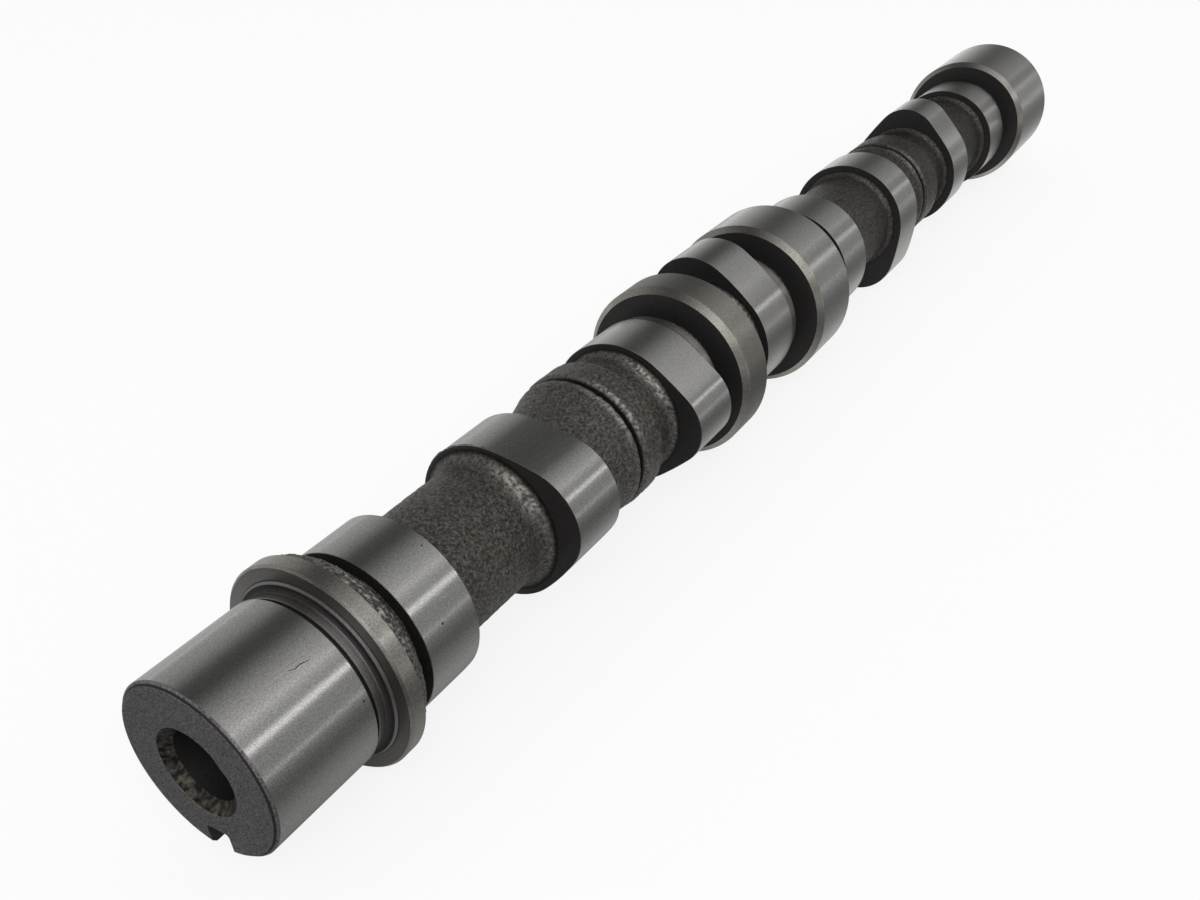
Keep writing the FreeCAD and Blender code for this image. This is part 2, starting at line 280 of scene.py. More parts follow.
# Grey iron as cast: fused sand and scale leave dark brown-grey grain, with bright metal where the
# skin is torn, brightest on the side towards the camera as a painted highlight, and near black as
# painted shade at fillet tops and in grooves.
finish_cast, tree, surface = new_finish("grey_iron_as_cast", Metallic=0.85, Roughness=0.36)
GRAIN = 0.6 * MM
GRAIN_DEPTH = 0.5 * MM
BLOTCH = 7 * MM
place = add(tree, "ShaderNodeTexCoord")
fine = add(tree, "ShaderNodeTexNoise", {"Vector": place.outputs["Object"], "Scale": 1 / GRAIN,
                                         "Detail": 3.0, "Roughness": 0.75})
broad = add(tree, "ShaderNodeTexNoise", {"Vector": place.outputs["Object"], "Scale": 1 / BLOTCH,
                                          "Detail": 3.0})
grain = add(tree, "ShaderNodeValToRGB", {"Fac": fine.outputs["Fac"]})
shade(grain, [(0.36, linear("#4a4846")), (0.5, linear("#6d6b68")), (0.66, linear("#93918c"))])
tint = add(tree, "ShaderNodeValToRGB", {"Fac": broad.outputs["Fac"]})
shade(tint, [(0.42, linear("#ededed")), (0.62, linear("#ebe7df"))])
tinted = add(tree, "ShaderNodeMix", {0: 1.0, 6: grain.outputs["Color"], 7: tint.outputs["Color"]},
             data_type="RGBA", blend_type="MULTIPLY")
# Torn skin is mixed towards bright metal, and more so on the side towards the camera as a painted
# highlight.
torn_and_highlit = add(tree, "ShaderNodeAttribute", attribute_name="torn_and_highlit")
bright = add(tree, "ShaderNodeMix", {0: torn_and_highlit.outputs["Fac"], 6: tinted.outputs[2],
                                      7: linear("#c9c6be")}, data_type="RGBA")
# Painted shade: near black at fillet tops and in grooves, and a little darker over the rear.
painted_shade = add(tree, "ShaderNodeAttribute", attribute_name="painted_shade")
darkened = add(tree, "ShaderNodeMix", {0: painted_shade.outputs["Fac"], 6: bright.outputs[2],
                                        7: linear("#232222")}, data_type="RGBA")
tree.links.new(darkened.outputs[2], surface.inputs["Base Color"])
worn_down = add(tree, "ShaderNodeMapRange", {"Value": torn_and_highlit.outputs["Fac"], "To Min": 1.0,
                                              "To Max": 0.25})
height = add(tree, "ShaderNodeMath", {0: fine.outputs["Fac"], 1: worn_down.outputs["Result"]},
             operation="MULTIPLY")
relief = add(tree, "ShaderNodeBump", {"Height": height.outputs[0], "Strength": 1.0,
                                       "Distance": GRAIN_DEPTH})
tree.links.new(relief.outputs["Normal"], surface.inputs["Normal"])

for number, (waist, fillet, bands, grooves) in enumerate(CAST_STRETCHES, start=1):
    coarse = 1.0 + waist[0][0] / CAST_TWICE_AS_COARSE
    rode(cast_stretch("cast_core_%d" % number, waist, fillet, bands, grooves, CAST_STEP * coarse,
                      int(CAST_AROUND / coarse), finish_cast))

# Ground journals. Three large seats are turned, bevelled and ground to run in the bearings, and the
# rear one ends the shaft with a plain face and the centre that the shaft was ground on.
AROUND_GROUND = 360
JOURNAL_RADIUS = 19.4
JOURNAL_BEVEL = 1.2
REAR_FACE = 354.6
REAR_BEVEL = 1.75
CENTRE_RADIUS = 4.0
CENTRE_DEPTH = 3.46
CENTRE_DRILL_RADIUS = 2.0
CENTRE_DRILL_DEPTH = 8.0
CENTRE_DRILL_POINT = 1.2
ON_AXIS = 0.001
EDGE_BREAK = 0.08
FLAT_MARGIN = 0.06
LONG_SPAN = 6 * FLAT_MARGIN
# Grinding lines are 0.01 mm apart, too fine to show, and are drawn at 0.12 mm.
LINE_GAP = 0.12 * MM
LINE_LENGTH = 11.11 * MM
LINE_DEPTH = 0.004 * MM
SPECK = 0.22 * MM
SPECK_DEPTH = 0.008 * MM


def ground_iron(name, dark, light, roughness):
    """Iron ground by a wheel. Its fine lines round the shaft smear reflections along the axis."""
    finish, tree, surface = new_finish(name, Metallic=1.0, Roughness=roughness, Anisotropic=0.75,
                                       Anisotropic_Rotation=0.25)
    place = add(tree, "ShaderNodeTexCoord")
    rings = add(tree, "ShaderNodeMapping", {"Vector": place.outputs["Object"],
                                             "Scale": (1 / LINE_GAP, *[1 / LINE_LENGTH] * 2)})
    lines = add(tree, "ShaderNodeTexNoise", {"Vector": rings.outputs["Vector"], "Scale": 1.0,
                                              "Detail": 2.0})
    specks = add(tree, "ShaderNodeTexNoise", {"Vector": place.outputs["Object"],
                                               "Scale": 1 / SPECK, "Detail": 2.0, "Roughness": 0.8})
    spread = add(tree, "ShaderNodeMapRange", {"Value": specks.outputs["Fac"], "From Min": 0.34,
                                               "From Max": 0.66})
    shades = add(tree, "ShaderNodeMix", {0: spread.outputs["Result"], 6: linear(dark),
                                          7: linear(light)}, data_type="RGBA")
    tree.links.new(shades.outputs[2], surface.inputs["Base Color"])
    direction = add(tree, "ShaderNodeTangent", direction_type="RADIAL", axis="X")
    tree.links.new(direction.outputs["Tangent"], surface.inputs["Tangent"])
    relief = add(tree, "ShaderNodeBump", {"Height": lines.outputs["Fac"], "Strength": 0.2,
                                           "Distance": LINE_DEPTH})
    rough = add(tree, "ShaderNodeBump", {"Height": specks.outputs["Fac"], "Strength": 0.3,
                                          "Distance": SPECK_DEPTH,
                                          "Normal": relief.outputs["Normal"]})
    tree.links.new(rough.outputs["Normal"], surface.inputs["Normal"])
    return finish


# Ground and run-in grey iron is satin and mid grey. The second seat has been dulled by its bearing,
# and the bevels and the rim of the flange are brighter and a little yellow.
finish_ground = ground_iron("grey_iron_ground", "#a2a19e", "#cccbc8", 0.22)
finish_dulled = ground_iron("grey_iron_ground_and_worn", "#7f7e79", "#aaa89f", 0.42)
finish_rim = ground_iron("grey_iron_rim_and_bevels", "#8f8c85", "#c6c3bb", 0.32)

# Turned grey iron: a lathe tool leaves concentric marks, duller than the ground seats.
finish_turned, tree, surface = new_finish("grey_iron_turned", Metallic=1.0, Roughness=0.36)
FEED = 0.2 * MM
FEED_DEPTH = 0.012 * MM
TURNED_SPECK = 0.2 * MM
TURNED_SPECK_DEPTH = 0.02 * MM
place = add(tree, "ShaderNodeTexCoord")
apart = add(tree, "ShaderNodeSeparateXYZ", {0: place.outputs["Object"]})
flat = add(tree, "ShaderNodeCombineXYZ", {"Y": apart.outputs["Y"], "Z": apart.outputs["Z"]})
radius = add(tree, "ShaderNodeVectorMath", {0: flat.outputs["Vector"]}, operation="LENGTH")
groove = add(tree, "ShaderNodeCombineXYZ", {"X": radius.outputs["Value"], "Y": apart.outputs["X"]})
marks = add(tree, "ShaderNodeTexNoise", {"Vector": groove.outputs["Vector"], "Scale": 1 / FEED,
                                          "Detail": 3.0})
speckle = add(tree, "ShaderNodeTexNoise", {"Vector": place.outputs["Object"],
                                            "Scale": 1 / TURNED_SPECK, "Detail": 3.0})
mixed = add(tree, "ShaderNodeMix", {0: 0.4, 2: speckle.outputs["Fac"], 3: marks.outputs["Fac"]})
spread = add(tree, "ShaderNodeMapRange", {"Value": mixed.outputs[0], "From Min": 0.35,
                                           "From Max": 0.65})
shades = add(tree, "ShaderNodeMix", {0: spread.outputs["Result"], 6: linear("#7d7b7a"),
                                      7: linear("#a5a3a0")}, data_type="RGBA")
tree.links.new(shades.outputs[2], surface.inputs["Base Color"])
relief = add(tree, "ShaderNodeBump", {"Height": marks.outputs["Fac"], "Strength": 0.6,
                                       "Distance": FEED_DEPTH})
rough = add(tree, "ShaderNodeBump", {"Height": speckle.outputs["Fac"], "Strength": 0.5,
                                      "Distance": TURNED_SPECK_DEPTH,
                                      "Normal": relief.outputs["Normal"]})
tree.links.new(rough.outputs["Normal"], surface.inputs["Normal"])

# Painted shade: matt, near black grey iron on the sides of lobes and journals, in the bore and
# slot, on the inner half of the nose's bevel, and on steps and recesses where shade falls.
finish_black_shade, tree, surface = new_finish("grey_iron_painted_black_shade", Metallic=0.6, Roughness=0.48)
BLACK_SHADE_GRAIN = 0.4 * MM
BLACK_SHADE_DEPTH = 0.05 * MM
place = add(tree, "ShaderNodeTexCoord")
speckle = add(tree, "ShaderNodeTexNoise", {"Vector": place.outputs["Object"],
                                            "Scale": 1 / BLACK_SHADE_GRAIN, "Detail": 4.0})
shades = add(tree, "ShaderNodeMix", {0: speckle.outputs["Fac"], 6: linear("#232222"),
                                      7: linear("#413e3d")}, data_type="RGBA")
tree.links.new(shades.outputs[2], surface.inputs["Base Color"])
relief = add(tree, "ShaderNodeBump", {"Height": speckle.outputs["Fac"], "Strength": 0.5,
                                       "Distance": BLACK_SHADE_DEPTH})
tree.links.new(relief.outputs["Normal"], surface.inputs["Normal"])

FINISHES = [finish_ground, finish_turned, finish_black_shade, finish_dulled, finish_rim]
GROUND, TURNED, BLACK_SHADE, DULLED, RIM = range(5)


def held_flat(outline):
    """Adds points just inside the ends of the long spans, so that they shade flat."""
    held = [outline[0]]
    for (near, low, finish), after in zip(outline, outline[1:]):
        span = math.hypot(after[0] - near, after[1] - low)
        if span > LONG_SPAN:
            for share in (FLAT_MARGIN / span, 1.0 - FLAT_MARGIN / span):
                held.append((near + share * (after[0] - near), low + share * (after[1] - low),
                             finish))
        held.append(after)
    return held


def lathe(name, outline, finishes=FINISHES):
    """Turns an outline of stations, radii and the finish that follows each corner."""
    outline = held_flat(outline)
    rings = [[on_shaft(station, radius, 2 * math.pi * i / AROUND_GROUND)
              for i in range(AROUND_GROUND)] for station, radius, finish in outline]
    return skin(name, rings, [finish for station, radius, finish in outline[:-1]], finishes)


# The sides of each seat are painted black as shade.
def journal(name, near, far, far_bevel, seat, end):
    """A ground seat with a bevel at each end. end goes on from its far bevel."""
    b = EDGE_BREAK
    rode(lathe(name, [
        (near, BURIED, BLACK_SHADE),
        (near, JOURNAL_RADIUS - JOURNAL_BEVEL - b, RIM),
        (near + b, JOURNAL_RADIUS - JOURNAL_BEVEL, RIM),
        (near + JOURNAL_BEVEL - b, JOURNAL_RADIUS - b, RIM),
        (near + JOURNAL_BEVEL + b, JOURNAL_RADIUS, seat),
        (far - far_bevel - b, JOURNAL_RADIUS, RIM),
        (far - far_bevel + b, JOURNAL_RADIUS - b, RIM),
        (far - b, JOURNAL_RADIUS - far_bevel, RIM),
        (far, JOURNAL_RADIUS - far_bevel - b, end[0][2]),
    ] + end))


journal("second_journal", 128.7, 138.8, JOURNAL_BEVEL, DULLED, [(138.8, BURIED, BLACK_SHADE)])
journal("third_journal", 166.4, 183.4, JOURNAL_BEVEL, GROUND, [(183.4, BURIED, BLACK_SHADE)])
journal("rear_journal", 325.4, REAR_FACE, REAR_BEVEL, GROUND, [
    (REAR_FACE, CENTRE_RADIUS, TURNED),
    (REAR_FACE - CENTRE_DEPTH, CENTRE_DRILL_RADIUS, TURNED),
    (REAR_FACE - CENTRE_DRILL_DEPTH, CENTRE_DRILL_RADIUS, TURNED),
    (REAR_FACE - CENTRE_DRILL_DEPTH - CENTRE_DRILL_POINT, ON_AXIS, TURNED),
])

# Cam lobes. Each cylinder has a low lobe with a narrow nose and a high lobe with a broad one. They
# are ground from the casting, with fine edges, and their sides are painted black as shade.
LOBE_BASE = 15.2
LOBE_SIDE_RING = 1.0
LOW_LOBE = {"reach": 18.7, "nose": 9.2, "flank": 90.0}
HIGH_LOBE = {"reach": 19.5, "nose": 10.8, "flank": 52.0}
LOBES = [
    # name, form, station, width, angle of the nose in degrees from +Y towards +Z
    ("low_lobe_1", LOW_LOBE, 37.9, 11.4, 265.4),
    ("high_lobe_1", HIGH_LOBE, 73.3, 12.5, 156.4),
    ("low_lobe_2", LOW_LOBE, 116.3, 12.5, 175.4),
    ("high_lobe_2", HIGH_LOBE, 153.3, 12.5, 66.4),
    ("low_lobe_3", LOW_LOBE, 197.0, 12.5, 355.4),
    ("high_lobe_3", HIGH_LOBE, 234.0, 12.5, 246.4),
    ("low_lobe_4", LOW_LOBE, 277.6, 12.5, 85.4),
    ("high_lobe_4", HIGH_LOBE, 312.8, 12.5, 336.4),
]


def lobe_radius(form, angle):
    """Distance from the axis to the lobe's outline, at an angle from the middle of its nose."""
    flank, nose = form["flank"], form["nose"]
    offset = form["reach"] - nose
    flank_x = ((flank - LOBE_BASE) ** 2 - (flank - nose) ** 2 + offset ** 2) / (2 * offset)
    flank_y = -math.sqrt((flank - LOBE_BASE) ** 2 - flank_x ** 2)
    turn = abs(math.remainder(angle, 2 * math.pi))
    ends = []
    for centre_x, radius in ((offset, nose), (0.0, LOBE_BASE)):
        away = math.hypot(centre_x - flank_x, flank_y)
        ends.append(math.atan2(-radius * flank_y / away,
                               centre_x + radius * (centre_x - flank_x) / away))
    if turn < ends[0]:
        middle_x, middle_y, radius = offset, 0.0, nose
    elif turn < ends[1]:
        middle_x, middle_y, radius = flank_x, flank_y, flank
    else:
        return LOBE_BASE
    along = middle_x * math.cos(turn) + middle_y * math.sin(turn)
    return along + math.sqrt(along ** 2 - middle_x ** 2 - middle_y ** 2 + radius ** 2)


def lobe(name, form, station, width, nose_angle):
    near, far = station - width / 2, station + width / 2
    angles = [2 * math.pi * i / AROUND_GROUND for i in range(AROUND_GROUND)]
    outline = [lobe_radius(form, angle - math.radians(nose_angle)) for angle in angles]
    b = EDGE_BREAK
    rows = [
        # station, how far inside the outline, and the finish that follows
        (near, None, BLACK_SHADE),
        (near, LOBE_SIDE_RING, BLACK_SHADE),
        (near, b + FLAT_MARGIN, BLACK_SHADE),
        (near, b, TURNED),
        (near + b, 0.0, GROUND),
        (near + b + FLAT_MARGIN, 0.0, GROUND),
        (far - b - FLAT_MARGIN, 0.0, GROUND),
        (far - b, 0.0, TURNED),
        (far, b, BLACK_SHADE),
        (far, b + FLAT_MARGIN, BLACK_SHADE),
        (far, LOBE_SIDE_RING, BLACK_SHADE),
        (far, None, BLACK_SHADE),
    ]
    rings = []
    for place, inset, finish in rows:
        rings.append([on_shaft(place, BURIED if inset is None else radius - inset, angle)
                      for angle, radius in zip(angles, outline)])
    rode(skin(name, rings, [finish for place, inset, finish in rows[:-1]], FINISHES))


for name, form, station, width, nose_angle in LOBES:
    lobe(name, form, station, width, nose_angle)

# Wear marks. Small pores and scratches on the first lobe and the front seat, from casting and from
# handling, each a narrow sliver on the ground surface.
NOSE_RADIUS = 15.0
MARK_LIFT = 0.012
MARK_STEPS = 8
MARK_FULLNESS = 0.8
MARK_UNEVEN = 0.3
MARK_WAVES = 7.0

# Open pores in the iron: black and matt.
finish_pore = new_finish("open_pore_in_iron", Base_Color=linear("#1d1b1a"), Roughness=0.8)[0]
# Fresh scratches in the iron: thin and bright, as the metal in them is clean.
finish_scratch = new_finish("fresh_scratch_in_iron", Base_Color=linear("#d8d5cf"), Metallic=1.0,
                            Roughness=0.3)[0]
MARKS = [
    # radius of the surface, width, finish, path as stations and angles from +Y towards +Z
    (NOSE_RADIUS, 0.42, finish_pore, [(18.75, 160.4), (19.1, 159.4)]),
    (NOSE_RADIUS, 0.16, finish_pore, [(12.3, 120.4), (13.3, 122.2), (14.0, 121.7), (15.1, 122.6),
                                      (15.9, 123.2)]),
    (NOSE_RADIUS, 0.14, finish_scratch, [(12.4, 121.3), (13.4, 123.4), (14.2, 122.7),
                                         (15.2, 123.6)]),
    (NOSE_RADIUS, 0.10, finish_scratch, [(7.4, 119.2), (11.0, 119.6), (14.6, 120.2),
                                         (18.4, 121.8)]),
    (NOSE_RADIUS, 0.08, finish_scratch, [(9.0, 117.0), (13.0, 117.6), (17.5, 118.4)]),
    (LOBE_BASE, 0.16, finish_scratch, [(37.3, 139.8), (38.2, 141.6), (39.0, 141.2)]),
    (LOBE_BASE, 0.14, finish_scratch, [(38.2, 136.2), (38.9, 139.0), (39.5, 140.6)]),
    (LOBE_BASE, 0.14, finish_scratch, [(38.6, 143.6), (39.2, 145.2), (40.2, 144.6)]),
    (LOBE_BASE, 0.34, finish_pore, [(42.0, 114.4), (42.35, 113.6)]),
    (LOBE_BASE, 0.4, finish_pore, [(36.4, 157.0), (36.9, 156.2)]),
]


def mark(name, radius, width, finish, path):
    """A sliver along a path on a round surface, uneven in width and narrowing to both ends."""
    line = []
    for before, after in zip(path, path[1:]):
        for step in range(MARK_STEPS):
            line.append(Vector(before).lerp(Vector(after), step / MARK_STEPS))
    line.append(Vector(path[-1]))
    degrees_per_mm = math.degrees(1.0 / radius)
    points = []
    for index, here in enumerate(line):
        ahead = line[min(index + 1, len(line) - 1)] - line[max(index - 1, 0)]
        ahead = Vector((ahead.x, ahead.y / degrees_per_mm)).normalized()
        share = index / (len(line) - 1)
        narrowing = math.sqrt(max(0.0, 1.0 - (2 * share - 1) ** 2))
        uneven = MARK_FULLNESS + MARK_UNEVEN * math.sin(MARK_WAVES * share * MARK_STEPS)
        half = 0.5 * width * narrowing * uneven
        for side in (-half, half):
            points.append(on_shaft(here.x - side * ahead.y, radius + MARK_LIFT,
                                   math.radians(here.y + side * ahead.x * degrees_per_mm)))
    faces = [(i, i + 1, i + 3, i + 2) for i in range(0, len(points) - 2, 2)]
    rode(put_in_scene(name, new_mesh(name, points, faces, [finish])))


for number, (radius, width, finish, path) in enumerate(MARKS, start=1):
    mark("wear_mark_%d" % number, radius, width, finish, path)

# Run-out shoulders. Two short steps behind the lobes of the second cylinder let the wheel run out,
# and the tool left a few fine rings where it came down from the lobe. The small steps between the
# rings and the shoulder's end are painted black as shade.
SHOULDER_RADIUS = 14.5
SHOULDER_BEVEL = 0.15
RUN_OUT_RINGS = [
    # distance behind the lobe, radius and the finish that follows
    (0.0, 15.0, RIM),
    (0.35, 14.97, BLACK_SHADE),
    (0.45, 14.84, RIM),
    (0.8, 14.8, BLACK_SHADE),
    (0.9, 14.66, RIM),
    (1.35, 14.62, BLACK_SHADE),
    (1.47, SHOULDER_RADIUS, RIM),
]
for name, start, end in (("low_shoulder", 122.45, 125.85), ("high_shoulder", 159.45, 162.85)):
    rings = [(start + behind, radius, finish) for behind, radius, finish in RUN_OUT_RINGS]
    rode(lathe(name, rings + [
        (end - SHOULDER_BEVEL, SHOULDER_RADIUS, TURNED),
        (end, SHOULDER_RADIUS - SHOULDER_BEVEL, BLACK_SHADE),
        (end, BURIED, BLACK_SHADE),
    ]))

# Thrust flange. A turned collar takes the end thrust. Ahead of it a relief lets the wheel run out
# of the front seat, and behind its turned rim the cast skin is left rough.
UNDERCUT_RADIUS = 13.9
UNDERCUT_END = 20.9
RELIEF_RADIUS = 14.5
FLANGE_FACE = 23.4
FLANGE_BACK = 26.42
FLANGE_RADIUS = 18.45
# The undercut, the foot of the boss and the step down to the flange face are painted black as
# shade.
rode(lathe("thrust_flange", [
    # station, radius and the finish that follows
    (19.9, UNDERCUT_RADIUS, BLACK_SHADE),
    (20.84, UNDERCUT_RADIUS, BLACK_SHADE),
    (UNDERCUT_END, 14.0, TURNED),
    (UNDERCUT_END, 14.4, TURNED),
    (21.0, RELIEF_RADIUS, TURNED),
    (22.2, RELIEF_RADIUS, TURNED),
    (22.45, 14.53, BLACK_SHADE),
    (22.65, 14.62, BLACK_SHADE),
    (22.8, 14.78, BLACK_SHADE),
    (22.88, 15.0, BLACK_SHADE),
    (22.9, 15.55, TURNED),
    (23.2, 15.88, TURNED),
    (23.33, 15.88, BLACK_SHADE),
    (23.36, 15.92, BLACK_SHADE),
    (FLANGE_FACE, 16.04, TURNED),
    (FLANGE_FACE, 18.02, RIM),
    (23.43, 18.09, RIM),
    (23.76, 18.42, RIM),
    (23.84, FLANGE_RADIUS, RIM),
    (26.36, FLANGE_RADIUS, TURNED),
    (FLANGE_BACK, 18.36, TURNED),
    (FLANGE_BACK, BURIED, TURNED),
]))
BACK_STEP = 0.16
BACK_AROUND = 640
BACK_FILLET = 0.2
BACK_CONE = [(26.35, 17.9), (27.0, 17.75), (27.8, 17.4), (28.8, 16.75), (29.8, 15.7), (30.35, 14.8),
             (30.45, 12.6), (30.6, 12.6)]
rode(cast_stretch("thrust_flange_back", BACK_CONE, BACK_FILLET, [], [], BACK_STEP, BACK_AROUND,
                  finish_cast, flaked=True))

# Front seat. The ground nose carries the timing wheel: a bolt hole with a bevelled mouth in its end
# and a key slot milled across the rim. Its face was sawn and faced, and is painted a darker grey as
# shade.
NOSE_LENGTH = 20.0
HOLE_RADIUS = 6.1
HOLE_DEPTH = 36.0
HOLE_POINT = 3.6
MOUTH_RADIUS = 7.65
MOUTH_DEPTH = 1.6

# Faced grey iron: an even dull grey with dark specks and little shine, its grey darkened as painted
# shade for the dark surroundings the face reflects.
finish_faced_shaded, tree, surface = new_finish("grey_iron_faced_painted_darker", Metallic=0.9, Roughness=0.45)
FACE_GRAIN = 0.36 * MM
FACE_DEPTH = 0.05 * MM
place = add(tree, "ShaderNodeTexCoord")
speckle = add(tree, "ShaderNodeTexNoise", {"Vector": place.outputs["Object"],
                                            "Scale": 1 / FACE_GRAIN, "Detail": 3.0,
                                            "Roughness": 0.9})
spread = add(tree, "ShaderNodeMapRange", {"Value": speckle.outputs["Fac"], "From Min": 0.36,
                                           "From Max": 0.64})
shades = add(tree, "ShaderNodeMix", {0: spread.outputs["Result"], 6: linear("#565455"),
                                      7: linear("#b2afb2")}, data_type="RGBA")
tree.links.new(shades.outputs[2], surface.inputs["Base Color"])
relief = add(tree, "ShaderNodeBump", {"Height": speckle.outputs["Fac"], "Strength": 0.6,
                                       "Distance": FACE_DEPTH})
tree.links.new(relief.outputs["Normal"], surface.inputs["Normal"])

# Drilled iron: the cone of the mouth is shiny and painted dark as shade, and streaked where the
# drill rubbed, its bright streaks also painted glints.
finish_drilled_shaded, tree, surface = new_finish("grey_iron_drilled_painted_dark", Metallic=0.9,
                                           Roughness=0.3)
STREAK_WIDTH = 0.8 * MM
STREAK_DRAWN = 0.3
STREAK_DEPTH = 0.06 * MM
place = add(tree, "ShaderNodeTexCoord")
drawn = add(tree, "ShaderNodeMapping", {"Vector": place.outputs["Object"],
                                         "Scale": (STREAK_DRAWN, 1.0, 1.0)})
streaks = add(tree, "ShaderNodeTexNoise", {"Vector": drawn.outputs["Vector"],
                                            "Scale": 1 / STREAK_WIDTH, "Detail": 4.0})
spread = add(tree, "ShaderNodeMapRange", {"Value": streaks.outputs["Fac"], "From Min": 0.42,
                                           "From Max": 0.8})
shades = add(tree, "ShaderNodeMix", {0: spread.outputs["Result"], 6: linear("#35322f"),
                                      7: linear("#938c80")}, data_type="RGBA")
tree.links.new(shades.outputs[2], surface.inputs["Base Color"])
relief = add(tree, "ShaderNodeBump", {"Height": streaks.outputs["Fac"], "Strength": 0.5,
                                       "Distance": STREAK_DEPTH})
tree.links.new(relief.outputs["Normal"], surface.inputs["Normal"])

NOSE_FINISHES = FINISHES + [finish_faced_shaded, finish_drilled_shaded]
FACED, DRILLED = 5, 6
# The bore and the inner half of the bevel round the face are painted black as shade.
piece = lathe("front_seat", [
    # station, radius and the finish that follows
    (HOLE_DEPTH + HOLE_POINT, ON_AXIS, BLACK_SHADE),
    (HOLE_DEPTH, HOLE_RADIUS, BLACK_SHADE),
    (MOUTH_DEPTH, HOLE_RADIUS, DRILLED),
    (0.06, MOUTH_RADIUS - 0.04, FACED),
    (0.0, MOUTH_RADIUS + 0.03, FACED),
    (0.0, NOSE_RADIUS - 0.7, FACED),
    (0.05, NOSE_RADIUS - 0.62, BLACK_SHADE),
    (0.33, NOSE_RADIUS - 0.33, FACED),
    (0.6, NOSE_RADIUS - 0.05, TURNED),
    (0.7, NOSE_RADIUS, GROUND),
    (NOSE_LENGTH - 0.1, NOSE_RADIUS, TURNED),
    (NOSE_LENGTH, NOSE_RADIUS - 0.1, TURNED),
    (NOSE_LENGTH, BURIED, TURNED),
], NOSE_FINISHES)

# A burr stands into the right rim of the mouth.
BURR_ANGLE = math.radians(142.0)
BURR_HALF_WIDTH = 0.3
BURR_HEIGHT = 0.35
BURR_DEPTH = 1.0
RIM_MARGIN = 0.2
for point in piece.data.vertices:
    around = math.atan2(point.co.z, point.co.y)
    out = math.hypot(point.co.y, point.co.z)
    if point.co.x < (NOSE_FACE + BURR_DEPTH) * MM and out < (MOUTH_RADIUS + RIM_MARGIN) * MM:
        away = abs(math.remainder(around - BURR_ANGLE, 2 * math.pi))
        swell = BURR_HEIGHT * MM * ease(0.0, 1.0, 1.0 - away / BURR_HALF_WIDTH)
        point.co.y -= swell * math.cos(around)
        point.co.z -= swell * math.sin(around)

KEY_WIDTH = 4.6
KEY_FLOOR = 10.9
KEY_LENGTH = 7.0
KEY_CORNER = 0.7
KEY_CORNER_STEPS = 6
KEY_ANGLE = math.radians(262.4)
CUTTER_PAST_RIM = 3.0
CUTTER_PAST_FACE = 2.0


def key_outline():
    """The slot seen from the end, as distances across it and out from the axis."""
    half = KEY_WIDTH / 2
    outline = [(half, NOSE_RADIUS + CUTTER_PAST_RIM), (-half, NOSE_RADIUS + CUTTER_PAST_RIM)]
    for side, first in ((-1, 180.0), (1, 270.0)):
        for step in range(KEY_CORNER_STEPS + 1):
            turn = math.radians(first + 90.0 * step / KEY_CORNER_STEPS)
            outline.append((side * (half - KEY_CORNER) + KEY_CORNER * math.cos(turn),
                            KEY_FLOOR + KEY_CORNER + KEY_CORNER * math.sin(turn)))
    return outline


slot = key_outline()
points = []
for station in (-CUTTER_PAST_FACE, KEY_LENGTH):
    for across, out in slot:
        points.append(((station + NOSE_FACE) * MM,
                       (out * math.cos(KEY_ANGLE) + across * math.sin(KEY_ANGLE)) * MM,
                       (out * math.sin(KEY_ANGLE) - across * math.cos(KEY_ANGLE)) * MM))
count = len(slot)
faces = [(i, (i + 1) % count, (i + 1) % count + count, i + count) for i in range(count)]
faces += [tuple(reversed(range(count))), tuple(range(count, 2 * count))]
# The cutter's black finish passes to the walls and floor of the slot, painted black as shade.
mesh = new_mesh("key_cutter", points, faces, NOSE_FINISHES)
mesh.polygons.foreach_set("material_index", [BLACK_SHADE] * len(faces))
cutter = put_in_scene("key_cutter", mesh)
cut = piece.modifiers.new("cut", "BOOLEAN")
cut.operation = "DIFFERENCE"
cut.object = cutter
cut.solver = "EXACT"
slotted = bpy.data.meshes.new_from_object(
    piece.evaluated_get(bpy.context.evaluated_depsgraph_get()))
piece.modifiers.clear()
piece.data = slotted
bpy.data.objects.remove(cutter)
slotted.set_sharp_from_angle(angle=math.radians(SHARP_CORNER))
rode(piece)

# Studio. A white sheet lies under the shaft. A tent of paper stands round it, seen in reflections
# only: pale at the back, dark above the back, bright overhead and with a strip lamp in front. Grey
# boards beside the shaft darken what the undersides of the ground seats show, and carry a painted
# shadow of the shaft along their middle.
# Sizes of the studio are in metres.
FLOOR = -19.4 * MM
SHEET_REACH = 6.0
SHEET_GLOW = 0.84
TENT_RADIUS = 0.9
TENT_NEAR, TENT_FAR = -1.5, 9.0
TENT_FROM, TENT_TO = -6.0, 186.0
TENT_SIDES = 60
TENT_SPAN = (0.35, 2.8)
TENT_LEVELS = [
    # angle from +Y towards +Z, and the levels of the paper there at its near and far ends
    (0, 0.45, 0.95), (16, 0.41, 0.62), (28, 0.36, 0.42), (38, 0.26, 0.26), (50, 0.10, 0.14),
    (66, 0.08, 0.10), (76, 0.14, 0.14), (88, 0.29, 0.18), (100, 0.43, 0.22), (112, 0.54, 0.24),
    (120, 0.66, 0.26), (124, 0.82, 0.34), (127, 0.62, 0.26), (138, 0.40, 0.22), (144, 0.44, 0.26),
    (145, 1.50, 0.34), (151, 1.50, 0.36), (152, 0.38, 0.34), (164, 0.36, 0.32), (180, 0.36, 0.26),
]
BOARD_REACH = 0.4
BOARD_LIFT = 0.05 * MM
BOARD_AHEAD_EDGE = -0.4
BOARD_NOSE_EDGE = -0.011
BOARD_REAR_EDGE = 0.9
BOARD_GAP = 0.0016
BOARD_FRONT_SPAN = (0.0, 0.34)
BOARD_BEHIND_SPAN = (0.3, 0.62)
